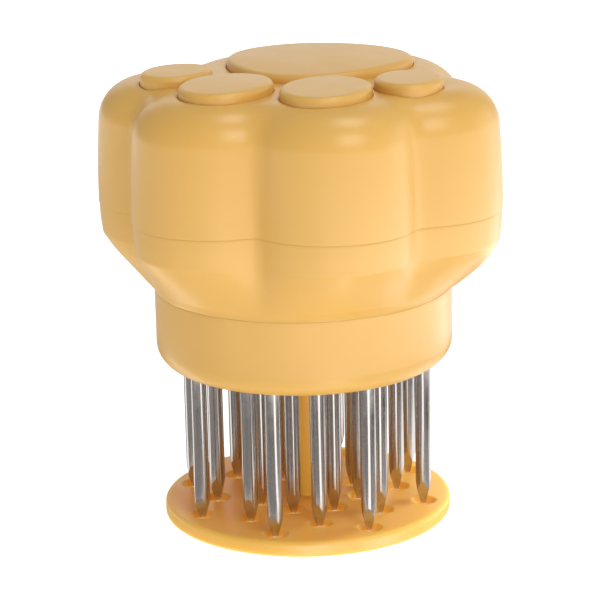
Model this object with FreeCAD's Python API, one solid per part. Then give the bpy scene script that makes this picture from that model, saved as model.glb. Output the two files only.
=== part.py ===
import FreeCAD, Part
import math
import os
from FreeCAD import Vector

# Needle meat tenderizer with a paw-shaped push handle. Millimetres, +Z up.
# The origin is the centre of the guard plate's underside, which the tool stands on.
# The toes of the paw point along -Y.

# ---- needles ----
needle_dia = 3.1
point_length = 5.0
point_flat = 0.42             # half width of the blunt end
point_facets = 4
point_below_plate_top = 0.7   # the points hide this far below the guard plate's top
head_dia = 4.2
head_thick = 1.5
ring_count = 8                # needles in each ring
outer_ring_radius = 24.2
outer_to_middle_ring = 5.8
middle_to_inner_ring = 7.6

# ---- guard plate: the spring-loaded disc that the needles pass through ----
plate_rim = 4.8               # plate beyond the outer ring of needles
plate_thick = 3.2
plate_edge_round = 0.9
guard_hole_gap = 0.3          # radial room between a needle and its hole in the plate
dish_gap = 1.2                # how far the dish round a hole reaches past the needle
dish_depth = 1.2
guard_travel = 25.0
travel_reserve = 3.8          # left between plate and collar with the guard pushed right up

# ---- needle block: collar, carrier and clamp ----
collar_height = 15.6
collar_bottom_round = 4.6
collar_top_round = 0.6
collar_wall = 2.6
collar_floor = 3.5
carrier_thick = 6.0
carrier_rim = 0.5             # carrier left outside the outer needles' heads
clamp_thick = 2.5
disc_gap = 0.2                # radial room round the carrier and the clamp
needle_fit = 0.05             # radial room round a needle in the block

# ---- guide post, bush and stop ----
post_dia = 5.0
post_run_gap = 0.06
bush_dia = 8.0
bush_flange_dia = 11.0
bush_flange_thick = 1.2
bush_floor_skin = 0.6
stop_rest_gap = 0.2
stop_thick = 1.5

# ---- spring ----
spring_wire = 1.0
spring_mean_dia = 10.0
spring_turns = 9
spring_side_gap = 0.7         # washers are this much wider than the coil, on the radius
seat_washer_thick = 1.2
spring_tube_gap = 0.5
spring_tube_wall = 1.8
spring_tube_length = 28.0

# ---- paw outline: round toes and a broad heel, blended into one smooth curve ----
inner_toe_side = 11.4
inner_toe_round = 16.3
inner_toe_overhang = 6.25     # toes beyond the collar
outer_toe_front = 2.2
outer_toe_round = 17.0
outer_toe_overhang = 10.95
heel_round = 30.0
heel_overhang = 12.8
valley_sharpness = 22
outline_points = 72

# ---- handle shells ----
flare_height = 10.9           # from the collar up to the straight wall
flare_toe_belly = 0.12        # how full the flare is under the toes: 0 straight, 1 full
flare_heel_belly = 0.9        # and under the heel
flare_belly_turn = 0.45       # the two meet within this share of the half width
straight_wall = 6.0           # from the flare up to the seam
cover_height = 24.2           # from the seam up to the top
shell_wall = 2.4
shoulder_round = 8.0
side_draft = 0.6
foot_ease = 0.35              # how far the corner between wall and flare is eased inwards
foot_ease_span = 2.4
seam_step = 0.15              # the lower shell stands back this much under the cover
flare_ledge = 0.35            # the flare meets the collar this far inside its edge
shell_floor = 2.5
floor_opening_gap = 1.5       # floor opening beyond the spring tube
lap_height = 2.0
lap_gap = 0.1

# ---- pads on top of the paw: inner pads placed from their toes, the others from these ----
toe_pad_proud = 2.2
palm_pad_proud = 2.7
pad_sunk = 0.8
pad_gap = 0.1
pad_edge_round = 0.8
pad_dome_radius = 160.0
inner_pad_inward = 1.55       # towards the middle plane from the toe's centre
inner_pad_backward = 3.2
inner_pad_half_width = 8.7
inner_pad_half_length = 11.7
inner_pad_splay = 4.0
outer_pad_half_width = 6.65
outer_pad_half_length = 9.0
outer_pad_splay = 12.0
outer_pad_tuck = 1.9          # outer pad behind the inner pad's side, seen from the front
outer_pad_backward = 10.3     # from the inner pad's centre to the outer pad's
palm_half_width = 18.7
palm_reach = 1.2              # palm pad reaches this far between the inner pads
palm_back_margin = 11.0       # paw left behind the palm pad
palm_corner_share = 0.05
peg_dia = 2.4
peg_gap = 0.05

# ---- fasteners ----
screw_dia = 3.0
screw_head_dia = 5.4
screw_head_thick = 2.0
screw_gap = 0.05
small_screw_dia = 2.2
small_head_dia = 4.0
small_head_thick = 1.4
screw_circle_inset = 0.6      # block screws this far inside the outer ring of needles
boss_setback = 5.6            # cover bosses beyond the floor opening
boss_wall = 1.8
collar_boss_wall = 1.4
cover_screw_bite = 9.0
post_screw_bite = 11.0
collar_screw_recess = 2.1

# ---- radii worked out from the sizes above ----
needle_radius = needle_dia / 2
head_radius = head_dia / 2
post_radius = post_dia / 2
screw_radius = screw_dia / 2
middle_ring_radius = outer_ring_radius - outer_to_middle_ring
inner_ring_radius = middle_ring_radius - middle_to_inner_ring
plate_radius = outer_ring_radius + plate_rim
disc_radius = outer_ring_radius + head_radius + needle_fit + carrier_rim
collar_inside_radius = disc_radius + disc_gap
collar_radius = collar_inside_radius + collar_wall
screw_circle = outer_ring_radius - screw_circle_inset
stop_dia = spring_mean_dia + spring_wire + 2 * spring_side_gap
spring_tube_bore = stop_dia / 2 + spring_tube_gap
spring_tube_outside = spring_tube_bore + spring_tube_wall
floor_opening_radius = spring_tube_outside + floor_opening_gap
cover_boss_circle = floor_opening_radius + boss_setback
boss_radius = screw_radius + boss_wall
collar_boss_radius = screw_radius + collar_boss_wall
inner_toe_front = collar_radius + inner_toe_overhang - inner_toe_round
outer_toe_side = collar_radius + outer_toe_overhang - outer_toe_round
heel_back = collar_radius + heel_overhang - heel_round
inner_pad_side = inner_toe_side - inner_pad_inward
inner_pad_front = inner_toe_front - inner_pad_backward
outer_pad_side = inner_pad_side + inner_pad_half_width + outer_pad_half_width - outer_pad_tuck
outer_pad_front = inner_pad_front - outer_pad_backward
palm_front_edge = inner_pad_half_length - inner_pad_front - palm_reach
palm_back_edge = heel_back + heel_round - palm_back_margin
palm_half_length = (palm_back_edge - palm_front_edge) / 2
palm_back = palm_back_edge - palm_half_length * (1 - palm_corner_share)
flare_radius = collar_radius - flare_ledge

# ---- levels worked out from the sizes above ----
needle_tip = plate_thick - point_below_plate_top
collar_bottom = plate_thick + guard_travel + travel_reserve
carrier_bottom = collar_bottom + collar_floor
carrier_top = carrier_bottom + carrier_thick
clamp_top = carrier_top + clamp_thick
collar_top = collar_bottom + collar_height
bush_top = clamp_top + bush_flange_thick
stop_bottom = bush_top + stop_rest_gap
stop_top = stop_bottom + stop_thick
floor_top = collar_top + shell_floor
wall_foot = collar_top + flare_height
seam_height = wall_foot + straight_wall
top_height = seam_height + cover_height
ceiling = top_height - shell_wall
seat_bottom = ceiling - seat_washer_thick
pad_floor = top_height - pad_sunk
ring_step = 360 / ring_count
axis_z = Vector(0, 0, 1)
origin = Vector(0, 0, 0)


def disc(radius, low, high, x=0, y=0):
    return Part.makeCylinder(radius, high - low, Vector(x, y, low), axis_z)


def ring_spots(radius, first_angle, count=ring_count):
    spots = []
    for index in range(count):
        angle = math.radians(first_angle + index * 360 / count)
        spots.append((radius * math.cos(angle), radius * math.sin(angle)))
    return spots


def needle_spots():
    spots = ring_spots(outer_ring_radius, 0)
    spots += ring_spots(middle_ring_radius, ring_step / 2)
    spots += ring_spots(inner_ring_radius, 0)
    return spots


def collar_screw_spots():
    return ring_spots(screw_circle, ring_step / 2, ring_count // 2)


def clamp_screw_spots():
    return ring_spots(screw_circle, ring_step * 1.5, ring_count // 2)


def cover_screw_spots():
    return ring_spots(cover_boss_circle, ring_step, ring_count // 2)


def pan_screw(x, y, seat, tip, up, radius, cap_radius, cap_thick):
    """A plain screw with its head's underside at seat, pointing to tip."""
    low, high = min(seat, tip), max(seat, tip)
    shank = disc(radius, low, high, x, y)
    if up:
        head = disc(cap_radius, seat - cap_thick, seat, x, y)
    else:
        head = disc(cap_radius, seat, seat + cap_thick, x, y)
    return shank.fuse(head).removeSplitter()


# ---- paw outline ----
def outline_radius(angle):
    """Distance from the axis to the paw's edge, a smooth union of five circles."""
    lobes = (
        (inner_toe_side, -inner_toe_front, inner_toe_round),
        (-inner_toe_side, -inner_toe_front, inner_toe_round),
        (outer_toe_side, -outer_toe_front, outer_toe_round),
        (-outer_toe_side, -outer_toe_front, outer_toe_round),
        (0, heel_back, heel_round),
    )
    total = 0
    for x, y, radius in lobes:
        along = x * math.cos(angle) + y * math.sin(angle)
        inside_root = radius ** 2 - x ** 2 - y ** 2 + along ** 2
        if inside_root > 0:
            reach = along + math.sqrt(inside_root)
            total += max(reach, 0) ** valley_sharpness
    return total ** (1 / valley_sharpness)


def outline_spot(angle, inset):
    """A point of the paw's edge moved inwards, square to the edge."""
    step = 0.001
    radius = outline_radius(angle)
    slope = (outline_radius(angle + step) - outline_radius(angle - step)) / (2 * step)
    length = math.hypot(radius, slope)
    out_x = (radius * math.cos(angle) + slope * math.sin(angle)) / length
    out_y = (radius * math.sin(angle) - slope * math.cos(angle)) / length
    return radius * math.cos(angle) - inset * out_x, radius * math.sin(angle) - inset * out_y


def closed_curve(points):
    curve = Part.BSplineCurve()
    curve.interpolate(Points=points, PeriodicFlag=True)
    return Part.Wire([curve.toShape()])


def flare_share(angle, part):
    """How far the flare has opened, 0 at the collar to 1 at the wall."""
    turn = min(max(0.5 + math.sin(angle) / (2 * flare_belly_turn), 0), 1)
    soft = turn * turn * (3 - 2 * turn)
    belly = flare_toe_belly + soft * (flare_heel_belly - flare_toe_belly)
    return part + belly * part * (1 - part)


def paw_wire(z, inset, part=1.0, round_radius=0.0):
    """The paw's outline at a height; in the flare (part below 1) it runs towards a circle."""
    points = []
    for index in range(outline_points):
        angle = 2 * math.pi * index / outline_points
        share = flare_share(angle, part)
        x, y = outline_spot(angle, inset)
        circle_x = round_radius * math.cos(angle)
        circle_y = round_radius * math.sin(angle)
        points.append(Vector(circle_x + share * (x - circle_x), circle_y + share * (y - circle_y), z))
    return closed_curve(points)


def paw_prism(low, high, inset):
    return Part.Face(paw_wire(low, inset)).extrude(Vector(0, 0, high - low))


def cover_form(inset, low, top, shoulder):
    """Side wall with a little draft, then a round shoulder up to a flat top."""
    wall_top = top - shoulder
    wires = []
    for part in (0, 0.35, 0.7, 1):
        wires.append(paw_wire(low + part * (wall_top - low), inset + side_draft * part ** 2))
    for degrees in (18, 36, 54, 72, 90):
        turn = math.radians(degrees)
        drawn_in = inset + side_draft + shoulder * (1 - math.cos(turn))
        wires.append(paw_wire(wall_top + shoulder * math.sin(turn), drawn_in))
    return Part.makeLoft(wires, True, False, False)


def flare_form(inset, low, foot, high, round_radius, ease=0.0):
    """Straight wall on top, then a flare that runs down to the collar's circle."""
    wires = []
    for part in (0, 0.1, 0.25, 0.45, 0.65, 0.83):
        z = low + part * (foot - low)
        eased = inset + ease * math.exp(-((z - foot) / foot_ease_span) ** 2)
        wires.append(paw_wire(z, eased, part, round_radius))
    for part in (0, 0.2, 0.45, 0.7, 1):
        z = foot + part * (high - foot)
        eased = inset + ease * math.exp(-((z - foot) / foot_ease_span) ** 2)
        wires.append(paw_wire(z, eased))
    return Part.makeLoft(wires, True, False, False)


# ---- guard ----
def guard_plate():
    plate = disc(plate_radius, 0, plate_thick)
    plate = plate.makeFillet(plate_edge_round, [e for e in plate.Edges if e.Length > plate_radius])
    hole_radius = needle_radius + guard_hole_gap
    dish_radius = needle_radius + dish_gap
    for x, y in needle_spots():
        plate = plate.cut(disc(hole_radius, -1, plate_thick + 1, x, y))
        dish = Part.makeCone(hole_radius, dish_radius, dish_depth,
                             Vector(x, y, plate_thick - dish_depth), axis_z)
        plate = plate.cut(dish)
    shank_hole = disc(screw_radius + screw_gap, -1, plate_thick + 1)
    head_cone = Part.makeCone(screw_head_dia / 2 + screw_gap, screw_radius + screw_gap,
                              screw_head_thick, origin, axis_z)
    return plate.cut(shank_hole).cut(head_cone)


def guide_post():
    post = disc(post_radius, plate_thick, stop_bottom)
    post = post.cut(disc(screw_radius + screw_gap, plate_thick, plate_thick + post_screw_bite))
    return post.cut(disc(screw_radius + screw_gap, stop_bottom - post_screw_bite, stop_bottom))


def post_screw():
    head = Part.makeCone(screw_head_dia / 2, screw_radius, screw_head_thick, origin, axis_z)
    shank = disc(screw_radius, screw_head_thick, plate_thick + post_screw_bite - 1)
    return head.fuse(shank).removeSplitter()


def stop_washer():
    washer = disc(stop_dia / 2, stop_bottom, stop_top)
    return washer.cut(disc(screw_radius + screw_gap, stop_bottom, stop_top))


def stop_screw():
    return pan_screw(0, 0, stop_top, stop_bottom - post_screw_bite + 1, False,
                     screw_radius, screw_head_dia / 2, screw_head_thick)


def return_spring():
    low = stop_top + spring_wire / 2
    high = seat_bottom - spring_wire / 2
    pitch = (high - low) / spring_turns
    helix = Part.makeHelix(pitch, high - low, spring_mean_dia / 2)
    helix.translate(Vector(0, 0, low))
    start = Vector(spring_mean_dia / 2, 0, low)
    section = Part.Wire([Part.makeCircle(spring_wire / 2, start, Vector(0, 1, 0))])
    return Part.Wire(helix.Edges).makePipeShell([section], True, True)


# ---- needle block ----
def needle(x, y):
    """Round shank with a flat head on top and a point ground to flat facets."""
    shoulder = needle_tip + point_length
    head_bottom = carrier_top - head_thick
    shank = disc(needle_radius, needle_tip, head_bottom, x, y)
    corner = 1 / math.cos(math.pi / point_facets)
    levels = ((needle_tip, point_flat), (shoulder, needle_radius))
    wires = []
    for level, half_width in levels:
        corners = []
        for index in range(point_facets + 1):
            angle = 2 * math.pi * (index + 0.5) / point_facets
            reach = half_width * corner
            corners.append(Vector(x + reach * math.cos(angle), y + reach * math.sin(angle), level))
        wires.append(Part.makePolygon(corners))
    point = Part.makeLoft(wires, True, True, False)
    sleeve = disc(head_radius, shoulder, head_bottom, x, y)
    shank = shank.common(point.fuse(sleeve))
    head = disc(head_radius, head_bottom, carrier_top, x, y)
    return shank.fuse(head).removeSplitter()


def needle_collar():
    outside = disc(collar_radius, collar_bottom, collar_top)
    low_rim = [e for e in outside.Edges if e.Length > collar_radius and e.BoundBox.ZMax < collar_top - 1]
    outside = outside.makeFillet(collar_bottom_round, low_rim)
    high_rim = [e for e in outside.Edges if e.Length > collar_radius and e.BoundBox.ZMin > collar_top - 1]
    outside = outside.makeFillet(collar_top_round, high_rim)
    collar = outside.cut(disc(collar_inside_radius, carrier_bottom, collar_top + 1))
    for x, y in needle_spots():
        collar = collar.cut(disc(needle_radius + needle_fit, collar_bottom - 1, carrier_bottom + 1, x, y))
    for x, y in collar_screw_spots():
        collar = collar.cut(disc(screw_radius + screw_gap, collar_bottom - 1, carrier_bottom + 1, x, y))
        recess_top = collar_bottom + collar_screw_recess
        collar = collar.cut(disc(screw_head_dia / 2 + screw_gap, collar_bottom - 1, recess_top, x, y))
    collar = collar.cut(disc(bush_dia / 2, collar_bottom + bush_floor_skin, carrier_bottom + 1))
    return collar.cut(disc(post_radius + guard_hole_gap, collar_bottom - 1, carrier_bottom))


def block_disc(low, high):
    """A disc of the needle block with the holes of the bush and the long screws."""
    body = disc(disc_radius, low, high).cut(disc(bush_dia / 2, low, high))
    for x, y in collar_screw_spots():
        body = body.cut(disc(screw_radius + screw_gap, low, high, x, y))
    for x, y in clamp_screw_spots():
        body = body.cut(disc(small_screw_dia / 2 + screw_gap, max(low, carrier_bottom + 1), high, x, y))
    return body


def needle_carrier():
    carrier = block_disc(carrier_bottom, carrier_top)
    for x, y in needle_spots():
        carrier = carrier.cut(disc(needle_radius + needle_fit, carrier_bottom, carrier_top, x, y))
        carrier = carrier.cut(disc(head_radius + needle_fit, carrier_top - head_thick, carrier_top, x, y))
    return carrier


def needle_clamp():
    return block_disc(carrier_top, clamp_top)


def guide_bush():
    bush = disc(bush_dia / 2, collar_bottom + bush_floor_skin, clamp_top)
    bush = bush.fuse(disc(bush_flange_dia / 2, clamp_top, bush_top)).removeSplitter()
    return bush.cut(disc(post_radius + post_run_gap, collar_bottom, bush_top))


def clamp_screws():
    screws = []
    for x, y in clamp_screw_spots():
        screws.append(pan_screw(x, y, clamp_top, carrier_bottom + 1.5, False,
                                small_screw_dia / 2, small_head_dia / 2, small_head_thick))
    return Part.makeCompound(screws)


def collar_screws():
    screws = []
    for x, y in collar_screw_spots():
        screws.append(pan_screw(x, y, collar_bottom + collar_screw_recess, floor_top, True,
                                screw_radius, screw_head_dia / 2, screw_head_thick))
    return Part.makeCompound(screws)


# ---- handle shells ----
def lower_shell():
    outside = flare_form(seam_step, collar_top, wall_foot, seam_height, flare_radius, foot_ease)
    inside = flare_form(shell_wall, floor_top, wall_foot + shell_wall / 2, seam_height + 1,
                        flare_radius - shell_wall)
    shell = outside.cut(inside)
    tongue = paw_prism(seam_height - 1, seam_height + lap_height - lap_gap, shell_wall / 2 + lap_gap)
    tongue = tongue.cut(paw_prism(seam_height - 2, seam_height + lap_height + 1, shell_wall - lap_gap))
    shell = shell.fuse(tongue)
    for x, y in collar_screw_spots():
        shell = shell.fuse(disc(collar_boss_radius, floor_top - 0.5, floor_top + 3, x, y))
    for x, y in collar_screw_spots():
        shell = shell.cut(disc(screw_radius + screw_gap, collar_top - 1, floor_top + 1, x, y))
    for x, y in cover_screw_spots():
        shell = shell.cut(disc(screw_radius + screw_gap, collar_top - 1, floor_top + 1, x, y))
    return shell.cut(disc(floor_opening_radius, collar_top - 1, floor_top + 1))


def paw_cover():
    outside = cover_form(0, seam_height, top_height, shoulder_round)
    inside = cover_form(shell_wall, seam_height - 1, ceiling, shoulder_round - shell_wall)
    cover = outside.cut(inside)
    cover = cover.cut(paw_prism(seam_height - 1, seam_height + lap_height, shell_wall / 2))
    tube_low = ceiling - spring_tube_length
    tube = disc(spring_tube_outside, tube_low, ceiling + 1).cut(disc(spring_tube_bore, tube_low, ceiling))
    cover = cover.fuse(tube)
    for x, y in cover_screw_spots():
        boss = disc(boss_radius, floor_top, ceiling + 1, x, y)
        boss = boss.cut(disc(screw_radius + screw_gap, floor_top, floor_top + cover_screw_bite, x, y))
        cover = cover.fuse(boss)
    for pocket in pad_shapes(pad_gap, pocket=True).values():
        cover = cover.cut(pocket)
    return cover.removeSplitter()


def cover_screws():
    screws = []
    for x, y in cover_screw_spots():
        screws.append(pan_screw(x, y, collar_top, floor_top + cover_screw_bite - 1, True,
                                screw_radius, screw_head_dia / 2, screw_head_thick))
    return Part.makeCompound(screws)


def seat_washer():
    washer = disc(stop_dia / 2, seat_bottom, ceiling)
    return washer.cut(disc(screw_head_dia / 2, seat_bottom, ceiling))


# ---- pads ----
def toe_outline(half_width, half_length, gap):
    long_half = max(half_width, half_length) + gap
    short_half = min(half_width, half_length) + gap
    ellipse = Part.Ellipse(origin, long_half, short_half)
    wire = Part.Wire([ellipse.toShape()])
    if half_length > half_width:
        wire.rotate(origin, axis_z, 90)
    return wire


def palm_outline(gap):
    """An oval with a little of a rounded triangle in it, one corner to the toes."""
    points = []
    for index in range(outline_points):
        angle = 2 * math.pi * index / outline_points
        swell = 1 + palm_corner_share * math.cos(3 * (angle + math.pi / 2))
        x = (palm_half_width + gap) * swell * math.cos(angle)
        y = (palm_half_length + gap) * swell * math.sin(angle)
        points.append(Vector(x, y, 0))
    return closed_curve(points)


def pad_block(outline, proud, peg_reach, pocket):
    """One pad at the origin, toes to -Y: a low block with a domed top and two pegs."""
    peg_radius = peg_dia / 2
    pad_top = top_height + proud
    outline.translate(Vector(0, 0, pad_floor))
    block = Part.Face(outline).extrude(Vector(0, 0, pad_top - pad_floor))
    if pocket:
        for y in (-peg_reach, peg_reach):
            block = block.fuse(disc(peg_radius + peg_gap, ceiling - 1, pad_floor + 0.5, 0, y))
        return block
    dome = Part.makeSphere(pad_dome_radius, Vector(0, 0, pad_top - pad_dome_radius))
    block = block.common(dome)
    rim = [e for e in block.Edges if e.CenterOfMass.z > top_height and e.Length > peg_dia]
    block = block.makeFillet(pad_edge_round, rim)
    for y in (-peg_reach, peg_reach):
        block = block.fuse(disc(peg_radius, ceiling, pad_floor + 0.5, 0, y))
    return block.removeSplitter()


def pad_shapes(gap=0.0, pocket=False):
    pads = {}
    for side, word in ((-1, "left"), (1, "right")):
        inner = pad_block(toe_outline(inner_pad_half_width, inner_pad_half_length, gap),
                          toe_pad_proud, inner_pad_half_length / 2, pocket)
        inner.rotate(origin, axis_z, side * inner_pad_splay)
        inner.translate(Vector(side * inner_pad_side, -inner_pad_front, 0))
        pads["inner_toe_pad_" + word] = inner
        outer = pad_block(toe_outline(outer_pad_half_width, outer_pad_half_length, gap),
                          toe_pad_proud, outer_pad_half_length / 2, pocket)
        outer.rotate(origin, axis_z, side * outer_pad_splay)
        outer.translate(Vector(side * outer_pad_side, -outer_pad_front, 0))
        pads["outer_toe_pad_" + word] = outer
    palm = pad_block(palm_outline(gap), palm_pad_proud, palm_half_length / 2, pocket)
    palm.translate(Vector(0, palm_back, 0))
    pads["palm_pad"] = palm
    return pads


def all_pieces():
    pieces = {
        "guard_plate": guard_plate(),
        "guide_post": guide_post(),
        "post_screw": post_screw(),
        "stop_washer": stop_washer(),
        "stop_screw": stop_screw(),
        "return_spring": return_spring(),
        "needle_collar": needle_collar(),
        "needle_carrier": needle_carrier(),
        "needle_clamp": needle_clamp(),
        "guide_bush": guide_bush(),
        "clamp_screws": clamp_screws(),
        "collar_screws": collar_screws(),
        "lower_shell": lower_shell(),
        "paw_cover": paw_cover(),
        "cover_screws": cover_screws(),
        "seat_washer": seat_washer(),
    }
    pieces.update(pad_shapes())
    for number, (x, y) in enumerate(needle_spots(), start=1):
        pieces["needle_%02d" % number] = needle(x, y)
    return pieces


os.makedirs("parts", exist_ok=True)
for name, shape in all_pieces().items():
    shape.exportStep("parts/" + name + ".step")
    print("%-24s solids %d volume %.1f valid %s" % (name, len(shape.Solids), shape.Volume, shape.isValid()))
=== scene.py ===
import bpy
import bmesh
import math
import numpy as np
from mathutils import Matrix, Vector
from mathutils.geometry import delaunay_2d_cdt


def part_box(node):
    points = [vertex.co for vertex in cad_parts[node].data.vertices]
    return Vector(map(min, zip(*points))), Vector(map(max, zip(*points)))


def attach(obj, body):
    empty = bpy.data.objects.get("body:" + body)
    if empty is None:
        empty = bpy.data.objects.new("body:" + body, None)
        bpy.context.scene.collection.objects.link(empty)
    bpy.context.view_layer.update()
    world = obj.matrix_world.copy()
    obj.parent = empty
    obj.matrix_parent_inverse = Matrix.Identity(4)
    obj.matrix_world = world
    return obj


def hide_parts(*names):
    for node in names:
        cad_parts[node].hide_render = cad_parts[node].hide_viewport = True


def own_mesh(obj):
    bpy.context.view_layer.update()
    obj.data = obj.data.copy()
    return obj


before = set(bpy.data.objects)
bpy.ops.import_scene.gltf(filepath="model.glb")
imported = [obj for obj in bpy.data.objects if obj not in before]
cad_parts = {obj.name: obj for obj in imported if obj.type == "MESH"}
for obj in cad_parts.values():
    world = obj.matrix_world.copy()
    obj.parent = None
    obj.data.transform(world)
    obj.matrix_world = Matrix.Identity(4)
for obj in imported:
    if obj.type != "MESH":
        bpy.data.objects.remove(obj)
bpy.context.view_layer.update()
print("frame loaded:", len(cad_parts), "nodes")

# Pieces are drawn in millimetres and buildPiece turns them into metres;
# materials, lamps, cards and the camera are in metres.
mm = 0.001


def boxMm(node):
    low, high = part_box(node)
    return low / mm, high / mm


collarLow, collarHigh = boxMm("needle_collar")
heights = {
    "plateTop": boxMm("guard_plate")[1].z,
    "collarBottom": collarLow.z,
    "collarTop": collarHigh.z,
    "seam": 64.5,
    "top": boxMm("paw_cover")[1].z,
    "ceiling": boxMm("seat_washer")[1].z,
}


# node helpers
def setInputs(tree, node, values):
    # a value is a constant, another node's output, or a node whose first output is meant
    for name, value in values.items():
        if isinstance(value, bpy.types.Node):
            value = value.outputs[0]
        if isinstance(value, bpy.types.NodeSocket):
            tree.links.new(value, node.inputs[name])
        else:
            node.inputs[name].default_value = value


def addNode(tree, kind, values=None, **settings):
    node = tree.nodes.new(kind)
    for key, value in settings.items():
        setattr(node, key, value)
    setInputs(tree, node, values or {})
    return node


# material helpers
def newMaterial(name):
    material = bpy.data.materials.new(name)
    material.use_nodes = True
    return material, material.node_tree, material.node_tree.nodes["Principled BSDF"]


def objectNoise(tree, scale, detail=3.0, stretch=(1, 1, 1)):
    place = addNode(tree, "ShaderNodeTexCoord").outputs["Object"]
    mapping = addNode(tree, "ShaderNodeMapping", {"Vector": place, "Scale": stretch})
    return addNode(tree, "ShaderNodeTexNoise",
                   {"Vector": mapping, "Scale": scale, "Detail": detail, "Roughness": 0.5})


def spread(tree, value, low, high):
    return addNode(tree, "ShaderNodeMapRange", {"Value": value, "From Min": 0.3, "From Max": 0.7,
                                                "To Min": low, "To Max": high})


def twoTone(tree, value, first, second):
    blend = addNode(tree, "ShaderNodeMix", data_type="RGBA")
    setInputs(tree, blend, {"Factor": value, "A": (*first, 1), "B": (*second, 1)})
    return blend.outputs["Result"]


def bumps(tree, *layers):
    # a layer is scale, detail, stretch, strength and depth in metres; the first lies deepest
    last = None
    for scale, detail, stretch, strength, depth in layers:
        height = objectNoise(tree, scale, detail, stretch)
        bump = addNode(tree, "ShaderNodeBump",
                       {"Strength": strength, "Distance": depth, "Height": height})
        if last is not None:
            setInputs(tree, bump, {"Normal": last})
        last = bump
    return last


yellow = {
    # light and deep
    "tones": {
        "shell": ((0.770, 0.450, 0.108), (0.748, 0.430, 0.097)),
        # guard: painted light, the shell's yellow made brighter to stand in for light bounced onto
        # the plate under the paw
        "guard": ((0.84, 0.510, 0.110), (0.82, 0.485, 0.095)),
        # post: painted light, the shell's yellow made brighter and more saturated to stand in for
        # light reaching the post between the needles
        "post": ((0.90, 0.460, 0.060), (0.88, 0.435, 0.052)),
    },
    # how much light sinks in, how deep, and the share of red, green, blue
    "clouds": {
        "faint": (0.12, 0.0025, (0.9, 0.5, 0.2)),
        "milky": (0.8, 0.006, (0.9, 0.78, 0.34)),
    },
    "ior": 1.5,
    "rough": (0.29, 0.36),
    # noises: scale, detail; for bumps also stretch, strength and depth
    "drift": (38, 2),
    "patch": (160, 4),
    "wave": (55, 1, (1, 1, 1), 0.35, 0.00012),
    "grain": (2600, 2, (1, 1, 1), 0.5, 0.000012),
}


def mouldedYellow(name, tone="shell", rougher=0.0, clouds="faint"):
    # satin plastic: faint colour drift, fine mould grain, slow sink waves
    material, tree, shader = newMaterial(name)
    light, deep = yellow["tones"][tone]
    drift, patch = objectNoise(tree, *yellow["drift"]), objectNoise(tree, *yellow["patch"])
    weight, depth, shares = yellow["clouds"][clouds]
    setInputs(tree, shader, {
        "Base Color": twoTone(tree, drift, deep, light),
        "Roughness": spread(tree, patch, *(rough + rougher for rough in yellow["rough"])),
        "IOR": yellow["ior"],
        "Subsurface Weight": weight,
        "Subsurface Radius": shares,
        "Subsurface Scale": depth,
        "Normal": bumps(tree, yellow["wave"], yellow["grain"]),
    })
    return material


steel = {
    "clean": (0.60, 0.565, 0.54),
    "dull": (0.47, 0.44, 0.42),
    "rough": (0.15, 0.24),
    "anisotropy": 0.75,
    "haze": (420, 4),
    "streaks": (2400, 3, (1, 1, 0.012)),
    "lines": (5200, 2, (1, 1, 0.02), 0.15, 0.00001),
}


def drawnSteel(name):
    # ground and polished rod: streaks run along the needle, gloss spreads along it
    material, tree, shader = newMaterial(name)
    streaks, haze = objectNoise(tree, *steel["streaks"]), objectNoise(tree, *steel["haze"])
    setInputs(tree, shader, {
        "Base Color": twoTone(tree, streaks, steel["dull"], steel["clean"]),
        "Roughness": spread(tree, haze, *steel["rough"]),
        "Metallic": 1.0,
        "Anisotropic": steel["anisotropy"],
        "Tangent": addNode(tree, "ShaderNodeCombineXYZ", {"Z": 1.0}),
        "Normal": bumps(tree, steel["lines"]),
    })
    return material


plated = {
    "screwTint": (0.62, 0.61, 0.58),
    "wireTint": (0.50, 0.49, 0.47),
    "darker": 0.8,
    "rough": (0.28, 0.42),
    "clouds": (700, 4),
    "pits": (4200, 2, (1, 1, 1), 0.3, 0.000012),
}


def platedSteel(name, tint):
    # zinc plated screws, washers and spring
    material, tree, shader = newMaterial(name)
    clouds = objectNoise(tree, *plated["clouds"])
    setInputs(tree, shader, {
        "Base Color": twoTone(tree, clouds, [c * plated["darker"] for c in tint], tint),
        "Roughness": spread(tree, clouds, *plated["rough"]),
        "Metallic": 1.0,
        "Normal": bumps(tree, plated["pits"]),
    })
    return material


shellYellow = mouldedYellow("satinYellowShell")
padYellow = mouldedYellow("satinYellowPads", rougher=0.03)
# the guard's yellow is brightened as painted light for the plate under the paw
guardYellowLitUp = mouldedYellow("satinYellowGuard", "guard", 0.06, "milky")
# the post's yellow is brightened and saturated as painted light between the needles
postYellowLitUp = mouldedYellow("satinYellowPost", "post", 0.06)
innerYellow = mouldedYellow("mouldedYellowInside", rougher=0.1)
needleSteel = drawnSteel("polishedNeedleSteel")
hardwareSteel = platedSteel("platedHardware", plated["screwTint"])
springSteel = platedSteel("springWire", plated["wireTint"])
print("materials made")


# mesh helpers
def newShape():
    return {"points": [], "faces": []}


def addRing(shape, ring):
    start = len(shape["points"])
    shape["points"] += [tuple(map(float, p)) for p in ring]
    return list(range(start, start + len(ring)))


def bridge(shape, first, second):
    count = len(first)
    for k in range(count):
        n = (k + 1) % count
        shape["faces"].append((first[k], first[n], second[n], second[k]))


def stack(shape, rings):
    # joins a list of rings one after another and gives their vertex numbers
    numbers = [addRing(shape, ring) for ring in rings]
    for first, second in zip(numbers, numbers[1:]):
        bridge(shape, first, second)
    return numbers


def closeWithPoint(shape, ring, point):
    tip = addRing(shape, [point])[0]
    for k in range(len(ring)):
        shape["faces"].append((ring[k], ring[(k + 1) % len(ring)], tip))


def seenFromAbove(shape, ring):
    return np.array([shape["points"][i][:2] for i in ring])


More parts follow.
